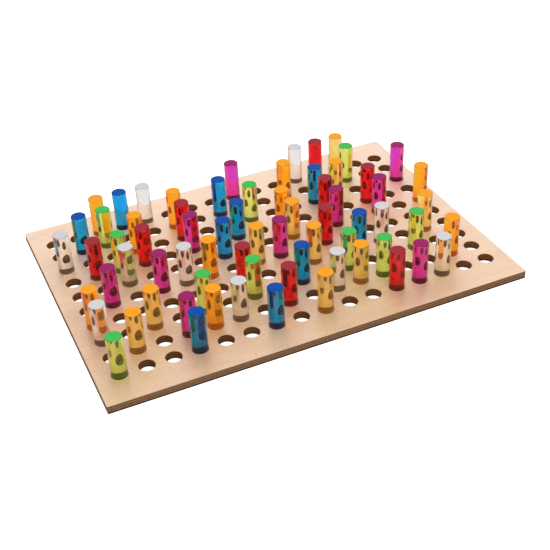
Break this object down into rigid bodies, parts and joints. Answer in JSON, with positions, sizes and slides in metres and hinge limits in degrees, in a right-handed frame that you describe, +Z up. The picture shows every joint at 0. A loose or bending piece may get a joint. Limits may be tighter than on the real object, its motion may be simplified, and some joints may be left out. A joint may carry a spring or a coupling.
{
  "type": "peg board with acrylic pegs",
  "caption": "Flat plywood board with a square grid of round through holes and lift-out translucent coloured acrylic pegs standing in some of them.",
  "frame": {"origin": "centre of the board's underside, on the surface that the board and the pegs stand on", "axes": "+X along the board's long side, +Y along its short side towards the back, +Z up along the pegs"},
  "size_m": [0.42, 0.297, 0.05],
  "materials": {
    "birch_plywood": "matte",
    "clear_acrylic": "polished",
    "amber_acrylic": "polished",
    "orange_acrylic": "polished",
    "green_acrylic": "polished",
    "blue_acrylic": "polished",
    "red_acrylic": "polished",
    "magenta_acrylic": "polished"
  },
  "bodies": {
    "board": {"board": "birch_plywood"},
    "peg_clear_01": {"peg_clear_01": "clear_acrylic"},
    "peg_clear_02": {"peg_clear_02": "clear_acrylic"},
    "peg_clear_03": {"peg_clear_03": "clear_acrylic"},
    "peg_clear_04": {"peg_clear_04": "clear_acrylic"},
    "peg_clear_05": {"peg_clear_05": "clear_acrylic"},
    "peg_clear_06": {"peg_clear_06": "clear_acrylic"},
    "peg_clear_07": {"peg_clear_07": "clear_acrylic"},
    "peg_clear_08": {"peg_clear_08": "clear_acrylic"},
    "peg_amber_01": {"peg_amber_01": "amber_acrylic"},
    "peg_amber_02": {"peg_amber_02": "amber_acrylic"},
    "peg_amber_03": {"peg_amber_03": "amber_acrylic"},
    "peg_amber_04": {"peg_amber_04": "amber_acrylic"},
    "peg_amber_05": {"peg_amber_05": "amber_acrylic"},
    "peg_amber_06": {"peg_amber_06": "amber_acrylic"},
    "peg_amber_07": {"peg_amber_07": "amber_acrylic"},
    "peg_amber_08": {"peg_amber_08": "amber_acrylic"},
    "peg_orange_01": {"peg_orange_01": "orange_acrylic"},
    "peg_orange_02": {"peg_orange_02": "orange_acrylic"},
    "peg_orange_03": {"peg_orange_03": "orange_acrylic"},
    "peg_orange_04": {"peg_orange_04": "orange_acrylic"},
    "peg_orange_05": {"peg_orange_05": "orange_acrylic"},
    "peg_orange_06": {"peg_orange_06": "orange_acrylic"},
    "peg_orange_07": {"peg_orange_07": "orange_acrylic"},
    "peg_orange_08": {"peg_orange_08": "orange_acrylic"},
    "peg_green_01": {"peg_green_01": "green_acrylic"},
    "peg_green_02": {"peg_green_02": "green_acrylic"},
    "peg_green_03": {"peg_green_03": "green_acrylic"},
    "peg_green_04": {"peg_green_04": "green_acrylic"},
    "peg_green_05": {"peg_green_05": "green_acrylic"},
    "peg_green_06": {"peg_green_06": "green_acrylic"},
    "peg_green_07": {"peg_green_07": "green_acrylic"},
    "peg_green_08": {"peg_green_08": "green_acrylic"},
    "peg_blue_01": {"peg_blue_01": "blue_acrylic"},
    "peg_blue_02": {"peg_blue_02": "blue_acrylic"},
    "peg_blue_03": {"peg_blue_03": "blue_acrylic"},
    "peg_blue_04": {"peg_blue_04": "blue_acrylic"},
    "peg_blue_05": {"peg_blue_05": "blue_acrylic"},
    "peg_blue_06": {"peg_blue_06": "blue_acrylic"},
    "peg_blue_07": {"peg_blue_07": "blue_acrylic"},
    "peg_blue_08": {"peg_blue_08": "blue_acrylic"},
    "peg_blue_09": {"peg_blue_09": "blue_acrylic"},
    "peg_red_01": {"peg_red_01": "red_acrylic"},
    "peg_red_02": {"peg_red_02": "red_acrylic"},
    "peg_red_03": {"peg_red_03": "red_acrylic"},
    "peg_red_04": {"peg_red_04": "red_acrylic"},
    "peg_red_05": {"peg_red_05": "red_acrylic"},
    "peg_red_06": {"peg_red_06": "red_acrylic"},
    "peg_red_07": {"peg_red_07": "red_acrylic"},
    "peg_red_08": {"peg_red_08": "red_acrylic"},
    "peg_red_09": {"peg_red_09": "red_acrylic"},
    "peg_magenta_01": {"peg_magenta_01": "magenta_acrylic"},
    "peg_magenta_02": {"peg_magenta_02": "magenta_acrylic"},
    "peg_magenta_03": {"peg_magenta_03": "magenta_acrylic"},
    "peg_magenta_04": {"peg_magenta_04": "magenta_acrylic"},
    "peg_magenta_05": {"peg_magenta_05": "magenta_acrylic"},
    "peg_magenta_06": {"peg_magenta_06": "magenta_acrylic"},
    "peg_magenta_07": {"peg_magenta_07": "magenta_acrylic"},
    "peg_magenta_08": {"peg_magenta_08": "magenta_acrylic"},
    "peg_magenta_09": {"peg_magenta_09": "magenta_acrylic"}
  },
  "joints": [
    {"name": "lift_clear_01", "type": "slide", "parent": "board", "child": "peg_clear_01", "axis": [0, 0, 1], "range_m": [0, 0.06]},
    {"name": "lift_clear_02", "type": "slide", "parent": "board", "child": "peg_clear_02", "axis": [0, 0, 1], "range_m": [0, 0.06]},
    {"name": "lift_clear_03", "type": "slide", "parent": "board", "child": "peg_clear_03", "axis": [0, 0, 1], "range_m": [0, 0.06]},
    {"name": "lift_clear_04", "type": "slide", "parent": "board", "child": "peg_clear_04", "axis": [0, 0, 1], "range_m": [0, 0.06]},
    {"name": "lift_clear_05", "type": "slide", "parent": "board", "child": "peg_clear_05", "axis": [0, 0, 1], "range_m": [0, 0.06]},
    {"name": "lift_clear_06", "type": "slide", "parent": "board", "child": "peg_clear_06", "axis": [0, 0, 1], "range_m": [0, 0.06]},
    {"name": "lift_clear_07", "type": "slide", "parent": "board", "child": "peg_clear_07", "axis": [0, 0, 1], "range_m": [0, 0.06]},
    {"name": "lift_clear_08", "type": "slide", "parent": "board", "child": "peg_clear_08", "axis": [0, 0, 1], "range_m": [0, 0.06]},
    {"name": "lift_amber_01", "type": "slide", "parent": "board", "child": "peg_amber_01", "axis": [0, 0, 1], "range_m": [0, 0.06]},
    {"name": "lift_amber_02", "type": "slide", "parent": "board", "child": "peg_amber_02", "axis": [0, 0, 1], "range_m": [0, 0.06]},
    {"name": "lift_amber_03", "type": "slide", "parent": "board", "child": "peg_amber_03", "axis": [0, 0, 1], "range_m": [0, 0.06]},
    {"name": "lift_amber_04", "type": "slide", "parent": "board", "child": "peg_amber_04", "axis": [0, 0, 1], "range_m": [0, 0.06]},
    {"name": "lift_amber_05", "type": "slide", "parent": "board", "child": "peg_amber_05", "axis": [0, 0, 1], "range_m": [0, 0.06]},
    {"name": "lift_amber_06", "type": "slide", "parent": "board", "child": "peg_amber_06", "axis": [0, 0, 1], "range_m": [0, 0.06]},
    {"name": "lift_amber_07", "type": "slide", "parent": "board", "child": "peg_amber_07", "axis": [0, 0, 1], "range_m": [0, 0.06]},
    {"name": "lift_amber_08", "type": "slide", "parent": "board", "child": "peg_amber_08", "axis": [0, 0, 1], "range_m": [0, 0.06]},
    {"name": "lift_orange_01", "type": "slide", "parent": "board", "child": "peg_orange_01", "axis": [0, 0, 1], "range_m": [0, 0.06]},
    {"name": "lift_orange_02", "type": "slide", "parent": "board", "child": "peg_orange_02", "axis": [0, 0, 1], "range_m": [0, 0.06]},
    {"name": "lift_orange_03", "type": "slide", "parent": "board", "child": "peg_orange_03", "axis": [0, 0, 1], "range_m": [0, 0.06]},
    {"name": "lift_orange_04", "type": "slide", "parent": "board", "child": "peg_orange_04", "axis": [0, 0, 1], "range_m": [0, 0.06]},
    {"name": "lift_orange_05", "type": "slide", "parent": "board", "child": "peg_orange_05", "axis": [0, 0, 1], "range_m": [0, 0.06]},
    {"name": "lift_orange_06", "type": "slide", "parent": "board", "child": "peg_orange_06", "axis": [0, 0, 1], "range_m": [0, 0.06]},
    {"name": "lift_orange_07", "type": "slide", "parent": "board", "child": "peg_orange_07", "axis": [0, 0, 1], "range_m": [0, 0.06]},
    {"name": "lift_orange_08", "type": "slide", "parent": "board", "child": "peg_orange_08", "axis": [0, 0, 1], "range_m": [0, 0.06]},
    {"name": "lift_green_01", "type": "slide", "parent": "board", "child": "peg_green_01", "axis": [0, 0, 1], "range_m": [0, 0.06]},
    {"name": "lift_green_02", "type": "slide", "parent": "board", "child": "peg_green_02", "axis": [0, 0, 1], "range_m": [0, 0.06]},
    {"name": "lift_green_03", "type": "slide", "parent": "board", "child": "peg_green_03", "axis": [0, 0, 1], "range_m": [0, 0.06]},
    {"name": "lift_green_04", "type": "slide", "parent": "board", "child": "peg_green_04", "axis": [0, 0, 1], "range_m": [0, 0.06]},
    {"name": "lift_green_05", "type": "slide", "parent": "board", "child": "peg_green_05", "axis": [0, 0, 1], "range_m": [0, 0.06]},
    {"name": "lift_green_06", "type": "slide", "parent": "board", "child": "peg_green_06", "axis": [0, 0, 1], "range_m": [0, 0.06]},
    {"name": "lift_green_07", "type": "slide", "parent": "board", "child": "peg_green_07", "axis": [0, 0, 1], "range_m": [0, 0.06]},
    {"name": "lift_green_08", "type": "slide", "parent": "board", "child": "peg_green_08", "axis": [0, 0, 1], "range_m": [0, 0.06]},
    {"name": "lift_blue_01", "type": "slide", "parent": "board", "child": "peg_blue_01", "axis": [0, 0, 1], "range_m": [0, 0.06]},
    {"name": "lift_blue_02", "type": "slide", "parent": "board", "child": "peg_blue_02", "axis": [0, 0, 1], "range_m": [0, 0.06]},
    {"name": "lift_blue_03", "type": "slide", "parent": "board", "child": "peg_blue_03", "axis": [0, 0, 1], "range_m": [0, 0.06]},
    {"name": "lift_blue_04", "type": "slide", "parent": "board", "child": "peg_blue_04", "axis": [0, 0, 1], "range_m": [0, 0.06]},
    {"name": "lift_blue_05", "type": "slide", "parent": "board", "child": "peg_blue_05", "axis": [0, 0, 1], "range_m": [0, 0.06]},
    {"name": "lift_blue_06", "type": "slide", "parent": "board", "child": "peg_blue_06", "axis": [0, 0, 1], "range_m": [0, 0.06]},
    {"name": "lift_blue_07", "type": "slide", "parent": "board", "child": "peg_blue_07", "axis": [0, 0, 1], "range_m": [0, 0.06]},
    {"name": "lift_blue_08", "type": "slide", "parent": "board", "child": "peg_blue_08", "axis": [0, 0, 1], "range_m": [0, 0.06]},
    {"name": "lift_blue_09", "type": "slide", "parent": "board", "child": "peg_blue_09", "axis": [0, 0, 1], "range_m": [0, 0.06]},
    {"name": "lift_red_01", "type": "slide", "parent": "board", "child": "peg_red_01", "axis": [0, 0, 1], "range_m": [0, 0.06]},
    {"name": "lift_red_02", "type": "slide", "parent": "board", "child": "peg_red_02", "axis": [0, 0, 1], "range_m": [0, 0.06]},
    {"name": "lift_red_03", "type": "slide", "parent": "board", "child": "peg_red_03", "axis": [0, 0, 1], "range_m": [0, 0.06]},
    {"name": "lift_red_04", "type": "slide", "parent": "board", "child": "peg_red_04", "axis": [0, 0, 1], "range_m": [0, 0.06]},
    {"name": "lift_red_05", "type": "slide", "parent": "board", "child": "peg_red_05", "axis": [0, 0, 1], "range_m": [0, 0.06]},
    {"name": "lift_red_06", "type": "slide", "parent": "board", "child": "peg_red_06", "axis": [0, 0, 1], "range_m": [0, 0.06]},
    {"name": "lift_red_07", "type": "slide", "parent": "board", "child": "peg_red_07", "axis": [0, 0, 1], "range_m": [0, 0.06]},
    {"name": "lift_red_08", "type": "slide", "parent": "board", "child": "peg_red_08", "axis": [0, 0, 1], "range_m": [0, 0.06]},
    {"name": "lift_red_09", "type": "slide", "parent": "board", "child": "peg_red_09", "axis": [0, 0, 1], "range_m": [0, 0.06]},
    {"name": "lift_magenta_01", "type": "slide", "parent": "board", "child": "peg_magenta_01", "axis": [0, 0, 1], "range_m": [0, 0.06]},
    {"name": "lift_magenta_02", "type": "slide", "parent": "board", "child": "peg_magenta_02", "axis": [0, 0, 1], "range_m": [0, 0.06]},
    {"name": "lift_magenta_03", "type": "slide", "parent": "board", "child": "peg_magenta_03", "axis": [0, 0, 1], "range_m": [0, 0.06]},
    {"name": "lift_magenta_04", "type": "slide", "parent": "board", "child": "peg_magenta_04", "axis": [0, 0, 1], "range_m": [0, 0.06]},
    {"name": "lift_magenta_05", "type": "slide", "parent": "board", "child": "peg_magenta_05", "axis": [0, 0, 1], "range_m": [0, 0.06]},
    {"name": "lift_magenta_06", "type": "slide", "parent": "board", "child": "peg_magenta_06", "axis": [0, 0, 1], "range_m": [0, 0.06]},
    {"name": "lift_magenta_07", "type": "slide", "parent": "board", "child": "peg_magenta_07", "axis": [0, 0, 1], "range_m": [0, 0.06]},
    {"name": "lift_magenta_08", "type": "slide", "parent": "board", "child": "peg_magenta_08", "axis": [0, 0, 1], "range_m": [0, 0.06]},
    {"name": "lift_magenta_09", "type": "slide", "parent": "board", "child": "peg_magenta_09", "axis": [0, 0, 1], "range_m": [0, 0.06]}
  ]
}
